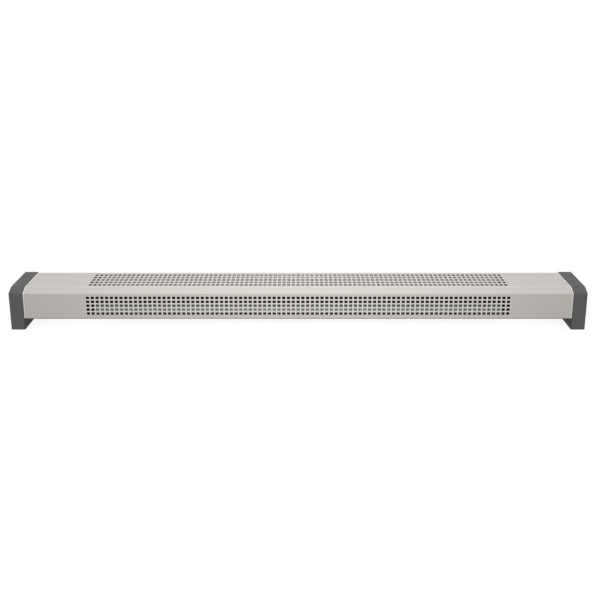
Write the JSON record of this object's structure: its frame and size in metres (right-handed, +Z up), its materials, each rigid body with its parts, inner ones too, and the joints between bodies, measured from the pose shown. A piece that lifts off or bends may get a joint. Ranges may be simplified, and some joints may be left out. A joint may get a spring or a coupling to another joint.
{
  "type": "plinth convector heater",
  "caption": "Long, low convector heater: a folded casing with square holes in its front and top, two plastic end caps that stand on the floor, and a finned element inside.",
  "frame": {"origin": "on the floor, under the middle of the heater's outline", "axes": "+X along the heater towards its right end, +Y towards the wall, +Z up"},
  "size_m": [1.208, 0.0816, 0.0925],
  "materials": {
    "casing_paint": "satin powder coat",
    "cap_plastic": "moulded, satin",
    "galvanised": "galvanised",
    "bright_aluminium": "bright rolled",
    "extruded_aluminium": "as extruded",
    "stainless": "dull tube",
    "mineral_core": "pressed powder",
    "nickelled": "nickel plated",
    "seal": "moulded",
    "ceramic": "glazed ceramic",
    "spring_steel": "blackened",
    "phenolic": "moulded",
    "brass": "machined",
    "zinc_steel": "zinc plated",
    "block_plastic": "moulded",
    "brown_lead": "silicone",
    "blue_lead": "silicone",
    "earth_lead": "silicone, two colours",
    "tinned": "tin plated",
    "clip_plastic": "moulded",
    "black_rubber": "moulded",
    "gland_plastic": "moulded"
  },
  "bodies": {
    "root": {"casing": "casing_paint", "rear_panel": "galvanised", "base_tray": "galvanised", "end_cap_left": "cap_plastic", "end_cap_right": "cap_plastic", "foot_pads": "black_rubber", "end_plate_left": "galvanised", "end_plate_right": "galvanised", "partition_left": "galvanised", "partition_right": "galvanised", "heat_shield": "bright_aluminium", "shield_rivets": "bright_aluminium", "element_body": "extruded_aluminium", "element_sheath": "stainless", "element_core": "mineral_core", "element_pins": "nickelled", "element_seals": "seal", "element_bushes": "ceramic", "element_clip": "spring_steel", "element_supports": "galvanised", "cutout_body": "phenolic", "cutout_cup": "stainless", "cutout_tabs": "brass", "cutout_screws": "zinc_steel", "terminal_block": "block_plastic", "terminal_inserts": "brass", "terminal_screws": "zinc_steel", "block_screws": "zinc_steel", "earth_bolt": "zinc_steel", "earth_nuts": "zinc_steel", "live_lead": "brown_lead", "switched_lead": "brown_lead", "neutral_lead": "blue_lead", "earth_lead": "earth_lead", "lead_receptacles": "tinned", "earth_ring": "tinned", "lead_clips": "clip_plastic", "lead_grommets": "black_rubber", "cord_gland": "gland_plastic", "gland_nut": "gland_plastic", "cap_screws": "zinc_steel", "lip_screws": "zinc_steel", "back_screws": "zinc_steel", "tray_screws": "zinc_steel"}
  },
  "joints": []
}
